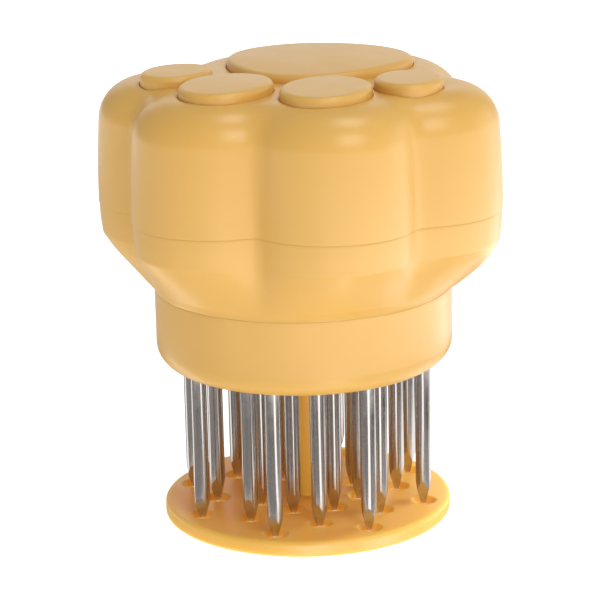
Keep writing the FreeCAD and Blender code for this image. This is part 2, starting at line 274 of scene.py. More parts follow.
def insideLoop(points, loop):
    inside = np.zeros(len(points), bool)
    x, y = points[:, 0], points[:, 1]
    for (ax, ay), (bx, by) in zip(loop, np.roll(loop, -1, axis=0)):
        if ay != by:
            crosses = (ay > y) != (by > y)
            inside ^= crosses & (x < (bx - ax) * (y - ay) / (by - ay) + ax)
    return inside


def fillFlat(shape, outer, holes=(), between=(), heightAt=None):
    # triangles between an outer ring and the rings of its holes;
    # the loose points in between get their height from heightAt
    loops = [outer, *holes]
    flat, edges = [], []
    for loop in loops:
        start = len(flat)
        flat += [Vector(p) for p in seenFromAbove(shape, loop)]
        edges += [(start + k, start + (k + 1) % len(loop)) for k in range(len(loop))]
    order = [i for loop in loops for i in loop]
    for x, y in between:
        order += addRing(shape, [(x, y, heightAt(x, y))])
        flat.append(Vector((x, y)))
    found = delaunay_2d_cdt(flat, edges, [], 1, 1e-6)
    points = np.array([v[:] for v in found[0]])
    faces = [f for f in found[2] if len(f) == 3]
    centres = np.array([points[list(f)].mean(0) for f in faces])
    keep = insideLoop(centres, seenFromAbove(shape, outer))
    for hole in holes:
        keep &= ~insideLoop(centres, seenFromAbove(shape, hole))
    back = [order[origin[0]] for origin in found[3]]
    shape["faces"] += [tuple(back[i] for i in f) for f, kept in zip(faces, keep) if kept]


def circleRing(radius, z, count, x=0.0, y=0.0, start=0.0):
    turn = (np.arange(count) + start) * 2 * math.pi / count
    height = np.full(count, float(z))
    return np.stack([x + radius * np.cos(turn), y + radius * np.sin(turn), height], 1)


latheStart = 0.37  # share of a step, so that no drilled hole meets the edges head on
stepsRound = {"wide": 192, "middle": 64, "small": 40, "hole": 32}


def latheRings(shape, profile, count, x=0.0, y=0.0):
    return stack(shape, [circleRing(r, z, count, x, y, latheStart) for r, z in profile])


def latheProfile(shape, profile, count):
    # a closed profile of (radius, height) points turned round the vertical axis
    numbers = latheRings(shape, profile, count)
    bridge(shape, numbers[-1], numbers[0])


def latheSolid(shape, profile, count, x=0.0, y=0.0):
    # the same for a profile that starts and ends on the axis
    numbers = latheRings(shape, profile[1:-1], count, x, y)
    closeWithPoint(shape, numbers[0][::-1], (x, y, profile[0][1]))
    closeWithPoint(shape, numbers[-1], (x, y, profile[-1][1]))


def roundCorner(centre, radius, start, end, steps):
    # an arc from one angle to another, in degrees
    turns = [math.radians(start + (end - start) * k / steps) for k in range(steps + 1)]
    return [(centre[0] + radius * math.cos(t), centre[1] + radius * math.sin(t)) for t in turns]


def arcShares(degrees):
    # how far a rounding has come inwards and upwards at each angle, as shares of its radius
    turns = [math.radians(d) for d in degrees]
    return [(1 - math.cos(t), math.sin(t)) for t in turns]


def addObject(name, data):
    thing = bpy.data.objects.new(name, data)
    bpy.context.scene.collection.objects.link(thing)
    return thing


mergeDistance = 1e-7  # metres
sliverLength = 3e-7


def shadeByAngle(work, degrees):
    # smooth faces, with sharp edges where they meet at more than the angle
    limit = math.radians(degrees)
    for edge in work.edges:
        edge.smooth = len(edge.link_faces) == 2 and edge.calc_face_angle(0) < limit
    for face in work.faces:
        face.smooth = True


def buildPiece(name, shape, material, smoothDegrees=32):
    mesh = bpy.data.meshes.new(name)
    mesh.from_pydata([tuple(c * mm for c in p) for p in shape["points"]], [], shape["faces"])
    work = bmesh.new()
    work.from_mesh(mesh)
    bmesh.ops.remove_doubles(work, verts=work.verts, dist=mergeDistance)
    bmesh.ops.recalc_face_normals(work, faces=work.faces)
    shadeByAngle(work, smoothDegrees)
    work.to_mesh(mesh)
    work.free()
    mesh.materials.append(material)
    return addObject(name, mesh)


def finishPiece(piece, body, nodes):
    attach(piece, body)
    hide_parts(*nodes)
    print("piece", piece.name, len(piece.data.polygons), "faces")


# paw outline
collarRadius = collarHigh.x
paw = {
    "innerToe": (11.4, collarRadius + 6.25 - 16.3, 16.3),  # side, front, radius
    "outerToe": (collarRadius + 10.95 - 17.0, 2.2, 17.0),
    "heel": (collarRadius + 12.8 - 30.0, 30.0),  # back, radius
    "sharpness": 22,
    "around": 240,
}
nudge = 0.001  # radians, for the slope of an outline


def pawRadius(angle):
    innerSide, innerFront, innerRound = paw["innerToe"]
    outerSide, outerFront, outerRound = paw["outerToe"]
    heelBack, heelRound = paw["heel"]
    lobes = [(0, heelBack, heelRound)]
    for side in (-1, 1):
        lobes.append((side * innerSide, -innerFront, innerRound))
        lobes.append((side * outerSide, -outerFront, outerRound))
    total = np.zeros_like(angle)
    for x, y, radius in lobes:
        along = x * np.cos(angle) + y * np.sin(angle)
        root = radius ** 2 - x ** 2 - y ** 2 + along ** 2
        reach = np.where(root > 0, along + np.sqrt(np.maximum(root, 0)), 0)
        total += np.maximum(reach, 0) ** paw["sharpness"]
    return total ** (1 / paw["sharpness"])


pawAngles = np.arange(paw["around"]) * 2 * math.pi / paw["around"]


def pawRing(inset, z, share=1.0, roundRadius=0.0):
    # below a share of 1 the outline runs towards a circle
    cos, sin = np.cos(pawAngles), np.sin(pawAngles)
    radius = pawRadius(pawAngles)
    slope = (pawRadius(pawAngles + nudge) - pawRadius(pawAngles - nudge)) / (2 * nudge)
    length = np.hypot(radius, slope)
    x = radius * cos - inset * (radius * cos + slope * sin) / length
    y = radius * sin - inset * (radius * sin - slope * cos) / length
    x = roundRadius * cos * (1 - share) + share * x
    y = roundRadius * sin * (1 - share) + share * y
    return np.stack([x, y, np.full_like(x, z)], 1)


# pads
pads = {
    "sunk": 1.3,
    "wallTop": 0.2,  # the straight wall ends this far under the cover's top
    "edgeRound": 1.1,
    "edgeTurns": (0, 12, 24, 36, 48, 60, 72, 82, 90),  # degrees
    "topShares": (0.985, 0.95, 0.88, 0.76, 0.6, 0.42, 0.22),
    "domeRadius": 160.0,
    "toeProud": 2.2,
    "palmProud": 2.7,
    "pocketGap": 0.1,
    "around": 96,
    "places": {
        # name: (half width, half length, side, toward the back, splay in degrees)
        "inner_toe_pad_left": (8.7, 11.7, -9.85, -16.4, -4.0),
        "inner_toe_pad_right": (8.7, 11.7, 9.85, -16.4, 4.0),
        "outer_toe_pad_left": (6.65, 8.4, -23.3, -5.6, -12.0),
        "outer_toe_pad_right": (6.65, 8.4, 23.3, -5.6, 12.0),
        "palm_pad": (18.7, 18.67, 0.0, 13.71, 0.0),
    },
    "palmCorners": 0.05,
}


def padLoop(name, outwards):
    # the pad's outline, moved outwards square to itself, as flat points
    halfWidth, halfLength, side, back, splay = pads["places"][name]
    corners = pads["palmCorners"] if name == "palm_pad" else 0.0

    def spot(angle):
        swell = 1 + corners * np.cos(3 * (angle + math.pi / 2))
        return np.stack([halfWidth * swell * np.cos(angle), halfLength * swell * np.sin(angle)], 1)

    angle = np.arange(pads["around"]) * 2 * math.pi / pads["around"]
    here = spot(angle)
    run = spot(angle + nudge) - spot(angle - nudge)
    run /= np.linalg.norm(run, axis=1)[:, None]
    here = here + outwards * np.stack([run[:, 1], -run[:, 0]], 1)
    turn = math.radians(splay)
    x = here[:, 0] * math.cos(turn) - here[:, 1] * math.sin(turn) + side
    y = here[:, 0] * math.sin(turn) + here[:, 1] * math.cos(turn) + back
    return np.stack([x, y], 1)


def padTop(name, loop):
    side, back = pads["places"][name][2:4]
    proud = pads["palmProud"] if name == "palm_pad" else pads["toeProud"]
    away = (loop[:, 0] - side) ** 2 + (loop[:, 1] - back) ** 2
    dome = pads["domeRadius"]
    return heights["top"] + proud - dome + np.sqrt(dome ** 2 - away)


def flatRing(loop, z):
    return np.column_stack([loop, np.full(len(loop), z)])


def makePad(name):
    shape = newShape()
    edge = pads["edgeRound"]
    base = padLoop(name, 0.0)
    floorZ = heights["top"] - pads["sunk"]
    rings = [flatRing(base, floorZ), flatRing(base, heights["top"] - pads["wallTop"])]
    for inwards, up in arcShares(pads["edgeTurns"]):
        loop = padLoop(name, -edge * inwards)
        rings.append(np.column_stack([loop, padTop(name, loop) - edge + edge * up]))
    centre = np.array(pads["places"][name][2:4])
    last = padLoop(name, -edge)
    for share in pads["topShares"]:
        loop = centre + (last - centre) * share
        rings.append(np.column_stack([loop, padTop(name, loop)]))
    numbers = stack(shape, rings)
    closeWithPoint(shape, numbers[-1], (*centre, float(padTop(name, centre[None, :])[0])))
    closeWithPoint(shape, numbers[0][::-1], (*centre, floorZ))
    first, *others = name.split("_")
    pieceName = first + "".join(word.capitalize() for word in others)
    finishPiece(buildPiece(pieceName, shape, padYellow), "handle", [name])


for padName in pads["places"]:
    makePad(padName)

# paw cover
cover = {
    "wall": 2.4,
    "wallStart": 0.02,  # share of the wall that the lip takes up
    "wallRings": 12,
    "draft": 0.6,
    "shoulder": 8.0,
    "shoulderStep": 6,  # degrees
    "lapInset": 1.2,
    "lapHeight": 2.0,
    "lipRound": 0.1,
    "pocketRound": 0.12,
    "pocketDeeper": 0.02,  # than the pad's foot
    "ringsUpTo": 55,  # degrees of the shoulder, above them it is filled in
    "fillTurns": range(58, 91, 4),
    "fillFree": 0.35,  # from any pocket
    "tube": (6.7, 8.5, 28.0),  # bore, outside, length
    "tubeChamfer": 0.4,
    "boss": (15.6, 1.55, 3.3, 9.0),  # circle, bore, outside, bore depth
    "bossBottom": 50.1,
    "bossChamfer": 0.3,
    "rooted": 0.6,  # tube and bosses reach this far into the ceiling
}


def coverSkin(inset, low, high, shoulder, first):
    # the wall from a share of its height upwards, and the rounded shoulder
    draft, wallTop = cover["draft"], high - shoulder
    rings = []
    for part in np.linspace(first, 1, cover["wallRings"]):
        rings.append(pawRing(inset + draft * part ** 2, low + part * (wallTop - low)))
    for inwards, up in arcShares(range(cover["shoulderStep"], 91, cover["shoulderStep"])):
        rings.append(pawRing(inset + draft + shoulder * inwards, wallTop + shoulder * up))
    return rings


def coverHeight(x, y):
    # height of the shoulder and the flat top over a place
    outline = pawRing(0, 0)[:, :2]
    run = np.roll(outline, -1, axis=0) - outline
    part = np.clip(((np.array((x, y)) - outline) * run).sum(1) / (run ** 2).sum(1), 0, 1)
    inset = float(np.min(np.linalg.norm(outline + part[:, None] * run - (x, y), axis=1)))
    away = max(cover["draft"] + cover["shoulder"] - inset, 0)
    return heights["top"] - cover["shoulder"] + math.sqrt(cover["shoulder"] ** 2 - away ** 2)


def addPocket(shape, name):
    # a pad's pocket with a rounded rim; gives the rim's vertex numbers
    rim, gap = cover["pocketRound"], pads["pocketGap"]
    mouth = padLoop(name, gap + rim)
    level = np.array([coverHeight(x, y) for x, y in mouth])
    down = [np.column_stack([mouth, level])]
    for inwards, up in arcShares((30, 60, 90)):
        down.append(np.column_stack([padLoop(name, gap + rim * (1 - up)), level - rim * inwards]))
    down.append(flatRing(padLoop(name, gap), heights["top"] - pads["sunk"] - cover["pocketDeeper"]))
    numbers = stack(shape, down)
    fillFlat(shape, numbers[-1])
    return numbers[0]


def addCoverTop(shape, edge):
    # shoulder and flat top as one skin with the pads' pockets in it
    pockets = [addPocket(shape, name) for name in pads["places"]]
    mouths = [seenFromAbove(shape, pocket) for pocket in pockets]
    between = []
    for inwards, _ in arcShares(cover["fillTurns"]):
        ring = pawRing(cover["draft"] + cover["shoulder"] * inwards, 0)[:, :2]
        free = np.full(len(ring), True)
        for mouth in mouths:
            gaps = np.linalg.norm(ring[:, None] - mouth[None], axis=2).min(1)
            free &= ~insideLoop(ring, mouth) & (gaps > cover["fillFree"])
        between += [tuple(spot) for spot in ring[free]]
    fillFlat(shape, edge, pockets, between, coverHeight)


def addTubeAndBosses(shape):
    ceiling = heights["ceiling"]
    root, chamfer = ceiling + cover["rooted"], cover["tubeChamfer"]
    bore, outside, length = cover["tube"]
    low = ceiling - length
    latheProfile(shape, [(bore, low + chamfer), (bore + chamfer, low), (outside - chamfer, low),
                         (outside, low + chamfer), (outside, root), (bore, root)],
                 stepsRound["middle"])
    circle, bore, outside, depth = cover["boss"]
    low, chamfer = cover["bossBottom"], cover["bossChamfer"]
    profile = [(0, low + depth), (bore, low + depth - 2 * chamfer), (bore, low + chamfer),
               (bore + chamfer, low), (outside - chamfer, low), (outside, low + chamfer),
               (outside, root), (0, root)]
    for quarter in range(4):
        angle = math.radians(45 + 90 * quarter)
        latheSolid(shape, profile, stepsRound["small"],
                   circle * math.cos(angle), circle * math.sin(angle))


def makeCover():
    shape = newShape()
    seam, top, ceiling = heights["seam"], heights["top"], heights["ceiling"]
    wall, lip, shoulder = cover["wall"], cover["lipRound"], cover["shoulder"]
    lapTop, innerLow, innerRound = seam + cover["lapHeight"], seam - 1, shoulder - wall
    first = (lapTop - innerLow) / (ceiling - innerRound - innerLow)
    inner = coverSkin(wall, innerLow, ceiling, innerRound, first)
    lap = [pawRing(cover["lapInset"], lapTop), pawRing(cover["lapInset"], seam)]
    edge = [pawRing(lip * inwards, seam + lip * (1 - up))
            for inwards, up in arcShares((90, 60, 30))]
    highest = top - shoulder * (1 - math.sin(math.radians(cover["ringsUpTo"])))
    outer = coverSkin(0, seam, top, shoulder, cover["wallStart"])
    outer = [ring for ring in outer if ring[0, 2] < highest]
    numbers = stack(shape, inner[::-1] + lap + edge + outer)
    addCoverTop(shape, numbers[-1])
    fillFlat(shape, numbers[0])
    addTubeAndBosses(shape)
    finishPiece(buildPiece("pawCover", shape, shellYellow), "handle", ["paw_cover"])


makeCover()

# lower shell
shell = {
    "step": 0.15,  # stands back this much under the cover
    "wall": 2.4,
    "wallFoot": 58.5,
    "flareLedge": 0.03,
    "toeBelly": 0.12,  # how full the flare is under the toes and under the heel
    "heelBelly": 0.9,
    "bellyTurn": 0.45,
    "footFillet": 0.2,  # share of the flare that turns into the collar
    "footLeast": 0.25,
    "flareParts": (*np.linspace(0, 0.2, 8), *np.linspace(0.24, 0.94, 17), 0.97),
    "wallParts": np.linspace(0.04, 1, 12),
    "ease": 0.35,
    "easeSpan": 2.4,
    "floorTop": 50.1,
    "opening": 10.0,
    "lapInset": 1.3,
    "lapHeight": 1.9,
    "lipRound": 0.1,
}


def makeLowerShell():
    shape = newShape()
    seam, low, foot = heights["seam"], heights["collarTop"], shell["wallFoot"]
    turn = np.clip(0.5 + np.sin(pawAngles) / (2 * shell["bellyTurn"]), 0, 1)
    soft = turn * turn * (3 - 2 * turn)
    belly = shell["toeBelly"] + soft * (shell["heelBelly"] - shell["toeBelly"])
    flareRadius = collarRadius - shell["flareLedge"]
    least = shell["footLeast"]

    def flare(inset, bottom, footZ, roundRadius, ease, highest):
        # from the collar's circle out to the paw's outline, and up its wall
        def eased(z):
            return inset + ease * math.exp(-((z - footZ) / shell["easeSpan"]) ** 2)

        rings = []
        for part in shell["flareParts"]:
            z = bottom + part * (footZ - bottom)
            near = min(part / shell["footFillet"], 1)
            share = part + belly * part * (1 - part)
            share = share * (least + (1 - least) * near) ** (1.0 - near)
            rings.append(pawRing(eased(z), z, share, roundRadius))
        for part in shell["wallParts"]:
            z = footZ + part * (highest - footZ)
            rings.append(pawRing(eased(z), z))
        return rings

    lip, step, wall = shell["lipRound"], shell["step"], shell["wall"]
    outer = flare(step, low, foot, flareRadius, shell["ease"], seam - lip)
    edge = [pawRing(step + lip * inwards, seam - lip + lip * up)
            for inwards, up in arcShares((30, 60, 90))]
    tongueTop, floorTop = seam + shell["lapHeight"], shell["floorTop"]
    tongue = [pawRing(shell["lapInset"], seam), pawRing(shell["lapInset"], tongueTop),
              pawRing(wall, tongueTop)]
    inner = flare(wall, floorTop, foot + wall / 2, flareRadius - wall, 0.0, seam)
    opening = [circleRing(shell["opening"], z, paw["around"]) for z in (floorTop, low)]
    numbers = stack(shape, outer + edge + tongue + inner[::-1] + opening)
    bridge(shape, numbers[-1], numbers[0])
    piece = buildPiece("lowerShell", shape, shellYellow)
    finishPiece(piece, "handle", ["lower_shell"])


makeLowerShell()
print("paw shells made")


# Geometry Nodes helpers
def newTree(name, inputs):
    # inputs: {label: (socket type, value)}; gives the tree, its inputs and their identifiers
    tree = bpy.data.node_groups.new(name, "GeometryNodeTree")
    tree.interface.new_socket("Geometry", in_out="INPUT", socket_type="NodeSocketGeometry")
    names = {}
    for label, (kind, value) in inputs.items():
        socket = tree.interface.new_socket(label, in_out="INPUT", socket_type=kind)
        if value is not None:
            socket.default_value = value
        names[label] = socket.identifier
    tree.interface.new_socket("Geometry", in_out="OUTPUT", socket_type="NodeSocketGeometry")
    return tree, tree.nodes.new("NodeGroupInput").outputs, names


def endTree(tree, geometry, material):
    # every piece leaves its tree as one real mesh with its material on
    real = addNode(tree, "GeometryNodeRealizeInstances", {"Geometry": geometry})
    painted = addNode(tree, "GeometryNodeSetMaterial", {"Geometry": real, "Material": material})
    addNode(tree, "NodeGroupOutput", {"Geometry": painted})


def applyTree(piece, tree, names, values):
    modifier = piece.modifiers.new(tree.name, "NODES")
    modifier.node_group = tree
    for label, value in values.items():
        modifier[names[label]] = value
    bpy.context.view_layer.update()
    graph = bpy.context.evaluated_depsgraph_get()
    mesh = bpy.data.meshes.new_from_object(piece.evaluated_get(graph))
    piece.modifiers.remove(modifier)
    old = piece.data
    piece.data = mesh
    bpy.data.meshes.remove(old)


def ringGroup():
    # copies of the incoming piece on a circle, each turned a little about its own axis
    tree, source, _ = newTree("ringOfCopies", {
        "Copies": ("NodeSocketInt", 8),
        "Ring Radius": ("NodeSocketFloat", 0.02),
        "First Angle": ("NodeSocketFloat", 0.0),
        "Turn Spread": ("NodeSocketFloat", 0.0),
        "Seed": ("NodeSocketInt", 3),
    })
    circle = addNode(tree, "GeometryNodeMeshCircle",
                     {"Vertices": source["Copies"], "Radius": source["Ring Radius"]})
    angle = addNode(tree, "ShaderNodeCombineXYZ", {"Z": source["First Angle"]})
    turned = addNode(tree, "GeometryNodeTransform", {"Geometry": circle, "Rotation": angle})
    least = addNode(tree, "ShaderNodeMath", {0: source["Turn Spread"], 1: -1.0},
                    operation="MULTIPLY")
    spin = addNode(tree, "FunctionNodeRandomValue",
                   {"Seed": source["Seed"], 2: least, 3: source["Turn Spread"]}, data_type="FLOAT")
    spinVector = addNode(tree, "ShaderNodeCombineXYZ", {"Z": spin.outputs[1]})
    copies = addNode(tree, "GeometryNodeInstanceOnPoints",
                     {"Points": turned, "Instance": source["Geometry"], "Rotation": spinVector})
    addNode(tree, "NodeGroupOutput", {"Geometry": copies})
    return tree


ringOfCopies = ringGroup()


def ringInputs(rings):
    # rings: {label: (copies, radius, first angle in degrees)}
    inputs = {}
    for label, (count, radius, degrees) in rings.items():
        inputs[label + " Copies"] = ("NodeSocketInt", count)
        inputs[label + " Radius"] = ("NodeSocketFloat", radius * mm)
        inputs[label + " Angle"] = ("NodeSocketFloat", math.radians(degrees))
    return inputs


def joinRings(tree, source, geometry, rings, shared=()):
    joined = addNode(tree, "GeometryNodeJoinGeometry")
    for label in rings:
        ring = addNode(tree, "GeometryNodeGroup", node_tree=ringOfCopies)
        setInputs(tree, ring, {
            "Geometry": geometry,
            "Copies": source[label + " Copies"],
            "Ring Radius": source[label + " Radius"],
            "First Angle": source[label + " Angle"],
            **{name: source[name] for name in shared},
        })
        setInputs(tree, joined, {"Geometry": ring})
    return joined


def spreadInRings(piece, name, rings, material, turnSpread=0.0):
    # rings of the same piece, made one mesh
    tree, source, names = newTree(name, {
        **ringInputs(rings),
        "Turn Spread": ("NodeSocketFloat", 0.0),
        "Seed": ("NodeSocketInt", 3),
        "Material": ("NodeSocketMaterial", None),
    })
    copies = joinRings(tree, source, source["Geometry"], rings, ("Turn Spread", "Seed"))
    endTree(tree, copies, source["Material"])
    values = {"Material": material, "Turn Spread": math.radians(turnSpread)}
    applyTree(piece, tree, names, values)


# needles
needle = {
    "radius": 1.55,
    "tip": 2.5,
    "tipShare": 0.7,  # of the blunt end that is flat
    "pointLength": 5.0,
    "pointParts": (0.03, 0.1, 0.2, 0.35, 0.5, 0.65, 0.8, 0.9, 1.0),
    "overPoint": (0.25, 0.6, 1.0),  # rings from the facets' end to just over the point
    "flat": 0.42,
    "facets": 4,
    "shankHeights": (12.0, 18.0, 25.0, 32.0),
    "headRadius": 2.1,
    "headBottom": 40.0,
    "headTop": 41.5,
    "headChamfer": 0.15,
    "around": 48,
    "turnSpread": 9.0,  # degrees either way
    "sharpDegrees": 28,
}
# copies, radius of the ring, angle of the first in degrees
needleRings = {"Outer": (8, 24.2, 0.0), "Middle": (8, 18.4, 22.5), "Inner": (8, 10.8, 0.0)}


def makeNeedles():
    shape = newShape()
    radius, flat, count = needle["radius"], needle["flat"], needle["around"]
    tip, length = needle["tip"], needle["pointLength"]
    angle = np.arange(count) * 2 * math.pi / count
    sector = 2 * math.pi / needle["facets"]
    offCentre = (angle + sector / 2) % sector - sector / 2
    lean = np.cos(offCentre)
    creaseZ = tip + (radius * lean - flat) / (radius - flat) * length

    def ringAt(reach, z):
        reach, z = np.broadcast_to(reach, count), np.broadcast_to(z, count)
        return np.stack([reach * np.cos(angle), reach * np.sin(angle), z], 1)

    rings = [ringAt(flat / lean * needle["tipShare"], tip)]
    for part in needle["pointParts"]:
        z = tip + part * (creaseZ - tip)
        rings.append(ringAt((flat + (radius - flat) * (z - tip) / length) / lean, z))
    crease = len(rings) - 1
    for part in needle["overPoint"]:
        rings.append(ringAt(radius, creaseZ + part * (tip + length + 1.0 - creaseZ)))
    bottom, top = needle["headBottom"], needle["headTop"]
    head, chamfer = needle["headRadius"], needle["headChamfer"]
    rings += [ringAt(radius, z) for z in (*needle["shankHeights"], bottom)]
    rings += [ringAt(reach, z) for reach, z in ((head - chamfer, bottom), (head, bottom + chamfer),
                                                (head, top - chamfer), (head - chamfer, top))]
    numbers = stack(shape, rings)
    closeWithPoint(shape, numbers[0][::-1], (0, 0, tip))
    closeWithPoint(shape, numbers[-1], (0, 0, top))
    piece = buildPiece("needles", shape, needleSteel, needle["sharpDegrees"])
    # the ground facets meet the round shank and each other in crisp edges
    onCrease = set(numbers[crease])
    corners = {ring[k] for ring in numbers[:crease + 1] for k in range(count)
               if abs(abs(offCentre[k]) - sector / 2) < 1e-6}
    for edge in piece.data.edges:
        ends = set(edge.vertices)
        if ends <= onCrease or ends <= corners:
            edge.use_edge_sharp = True
    spreadInRings(piece, "needleRings", needleRings, needleSteel, needle["turnSpread"])
    finishPiece(piece, "handle", ["needle_%02d" % n for n in range(1, 25)])


makeNeedles()


# drilled pieces: guard plate and collar
def drillRings(piece, cutter, name, rings, material):
    # takes rings of the cutter piece out of the piece
    tree, source, names = newTree(name, {
        "Cutter": ("NodeSocketObject", None),
        **ringInputs(rings),
        "Material": ("NodeSocketMaterial", None),
    })
    tool = addNode(tree, "GeometryNodeObjectInfo", {"Object": source["Cutter"]})
    copies = joinRings(tree, source, tool.outputs["Geometry"], rings)
    tools = addNode(tree, "GeometryNodeRealizeInstances", {"Geometry": copies})
    cut = addNode(tree, "GeometryNodeMeshBoolean", {"Mesh 1": source["Geometry"], "Mesh 2": tools},
                  operation="DIFFERENCE", solver="EXACT")
    endTree(tree, cut, source["Material"])
    applyTree(piece, tree, names, {"Cutter": cutter, "Material": material})
    mesh = cutter.data
    bpy.data.objects.remove(cutter)
    bpy.data.meshes.remove(mesh)


def edgesByAngle(piece, degrees):
    # takes out slivers that a cut leaves, and shades the rest
    work = bmesh.new()
    work.from_mesh(piece.data)
    bmesh.ops.dissolve_degenerate(work, dist=sliverLength, edges=work.edges)
    shadeByAngle(work, degrees)
    work.to_mesh(piece.data)
    work.free()


plate = {
    "radius": 29.0,
    "edgeRound": 0.9,
    "flatEnd": 0.6,  # the flat's last ring lies this far inside the rounding
    "holeRadius": 1.85,
    "holeChamfer": 0.15,
    "dishRadius": 2.75,
    "dishDepth": 1.2,
    "dishSteps": 12,
    "dishSoftness": 0.84,
    "cutterWider": 0.5,
    "screwBore": 1.55,
    "screwHead": 2.75,
    "screwSeat": 2.0,
    "sharpDegrees": 9,
}


def makeGuardPlate():
    shape = newShape()
    top, edge, rim = heights["plateTop"], plate["edgeRound"], plate["radius"]
    flatEnd = rim - edge - plate["flatEnd"]
    profile = [(plate["screwHead"], 0.0), (flatEnd, 0.0)]
    profile += roundCorner((rim - edge, edge), edge, -90, 0, 9)
    profile += roundCorner((rim - edge, top - edge), edge, 0, 90, 9)
    profile += [(flatEnd, top), (plate["screwBore"], top), (plate["screwBore"], plate["screwSeat"])]
    latheProfile(shape, profile, stepsRound["wide"])
    piece = buildPiece("guardPlate", shape, guardYellowLitUp)
    cutter = newShape()
    hole, chamfer = plate["holeRadius"], plate["holeChamfer"]
    dish, depth, soft = plate["dishRadius"], plate["dishDepth"], plate["dishSoftness"]
    profile = [(0, -1.0), (hole + chamfer, -1.0), (hole + chamfer, 0.0), (hole, chamfer),
               (hole, top - depth)]
    for k in range(1, plate["dishSteps"] + 1):
        part = k / plate["dishSteps"]
        rise = soft * part * part * (3 - 2 * part) + (1 - soft) * part
        profile.append((hole + (dish - hole) * part, top - depth + depth * rise))
    dish += plate["cutterWider"]
    profile += [(dish, top + 0.1), (dish, top + 2.0), (0, top + 2.0)]
    latheSolid(cutter, profile, stepsRound["small"])
    tool = buildPiece("dishCutter", cutter, guardYellowLitUp)
    drillRings(piece, tool, "dishedHoles", needleRings, guardYellowLitUp)
    edgesByAngle(piece, plate["sharpDegrees"])
    finishPiece(piece, "guard", ["guard_plate"])


makeGuardPlate()

collar = {
    "bottomRound": 4.6,
    "topRound": 0.12,
    "flatEnd": 0.8,
    "cupRadius": 27.05,
    "cupChamfer": 0.2,
    "floor": 3.5,
    "bore": 2.8,
    "bushSeat": (4.0, 0.6),  # radius, skin under it
    "holeRadius": 1.6,
    "recess": (2.75, 2.1),  # radius, depth
    "sharpDegrees": 20,
}
blockScrewRing = {"Screws": (4, 23.6, 22.5)}


def makeCollar():
    shape = newShape()
    low, high, rim = heights["collarBottom"], heights["collarTop"], collarRadius
    big, small, cup = collar["bottomRound"], collar["topRound"], collar["cupRadius"]
    chamfer, floor, bore = collar["cupChamfer"], low + collar["floor"], collar["bore"]
    seatRadius, seatSkin = collar["bushSeat"]
    profile = [(bore, low), (rim - big - collar["flatEnd"], low)]
    profile += roundCorner((rim - big, low + big), big, -90, 0, 18)
    profile += [(rim, z) for z in np.linspace(low + big + 2, high - small - 1, 6)]
    profile += roundCorner((rim - small, high - small), small, 0, 90, 8)
    profile += [(cup + chamfer, high), (cup, high - chamfer), (cup, floor), (seatRadius, floor),
                (seatRadius, low + seatSkin), (bore, low + seatSkin)]
    latheProfile(shape, profile, stepsRound["wide"])
    piece = buildPiece("needleCollar", shape, shellYellow)
    recess, depth = collar["recess"]
    for name, rings, radius, top in (("needleHoles", needleRings, collar["holeRadius"], floor + 1),
                                     ("screwRecesses", blockScrewRing, recess, low + depth)):
        cutter = newShape()
        latheSolid(cutter, [(0, low - 1), (radius, low - 1), (radius, top), (0, top)],
                   stepsRound["hole"])
        tool = buildPiece(name + "Cutter", cutter, shellYellow)
        drillRings(piece, tool, name, rings, shellYellow)
    edgesByAngle(piece, collar["sharpDegrees"])
    finishPiece(piece, "handle", ["needle_collar"])


makeCollar()
print("plate and collar drilled")

# guide post
post = {
    "radius": 2.5,
    "footRound": 0.5,
    "footTurns": (0, 20, 40, 60, 75, 90),
    "rings": (10, 18, 26, 34, 44.9),
    "top": 45.4,
    "topChamfer": 0.3,
    "bore": 1.55,
}


def makePost():
    shape = newShape()
    low, top = heights["plateTop"], post["top"]
    radius, foot, bore = post["radius"], post["footRound"], post["bore"]
    profile = [(bore, low)]
    profile += [(radius + foot * (1 - up), low + foot * inwards)
                for inwards, up in arcShares(post["footTurns"])]
    profile += [(radius, z) for z in post["rings"]]
    profile += [(radius - post["topChamfer"], top), (bore, top)]
    latheProfile(shape, profile, stepsRound["middle"])
    finishPiece(buildPiece("guidePost", shape, postYellowLitUp), "guard", ["guide_post"])


makePost()


# screws
bigScrew = {"headRadius": 2.7, "headThick": 2.0, "shankRadius": 1.5, "recessDepth": 1.3}
smallScrew = {"headRadius": 2.0, "headThick": 1.4, "shankRadius": 1.1, "recessDepth": 0.9}
screws = {
    # piece: (node, body, size, head, height of the seat, length, rings)
    "collarScrews": ("collar_screws", "handle", bigScrew, "down", 34.1, 16.0, blockScrewRing),
    "coverScrews": ("cover_screws", "handle", bigScrew, "down", 47.6, 10.5,
                    {"Screws": (4, 15.6, 45.0)}),
    "clampScrews": ("clamp_screws", "handle", smallScrew, "up", 44.0, 7.0,
                    {"Screws": (4, 23.6, 67.5)}),
    "postScrew": ("post_screw", "guard", bigScrew, "down and sunk", 2.0, 11.2, None),
    "stopScrew": ("stop_screw", "guard", bigScrew, "up", 46.9, 11.5, None),
}
screwForm = {
    "crown": (0.45, 0.03),  # share of the head's radius, fall
    "headRound": (0.55, 0.6),  # radius, its centre's depth
    "headEdge": 0.15,
    "sunkEdge": 0.1,
    "thread": (1.0, 1.6),  # starts under the head, ends over the point
    "pitch": 0.5,
    "depth": 0.12,
    "point": (0.1, 0.4),  # narrower by, length
    "cross": (0.52, 0.13),  # reach and half width of an arm, as shares of the head's radius
    "crossEnds": ((0.45, 0.7), (1.2, 1.1)),  # shares of these two below and above
    "crossOver": 0.5,
    "crossTip": 0.2,
    "sharpDegrees": 30,
}


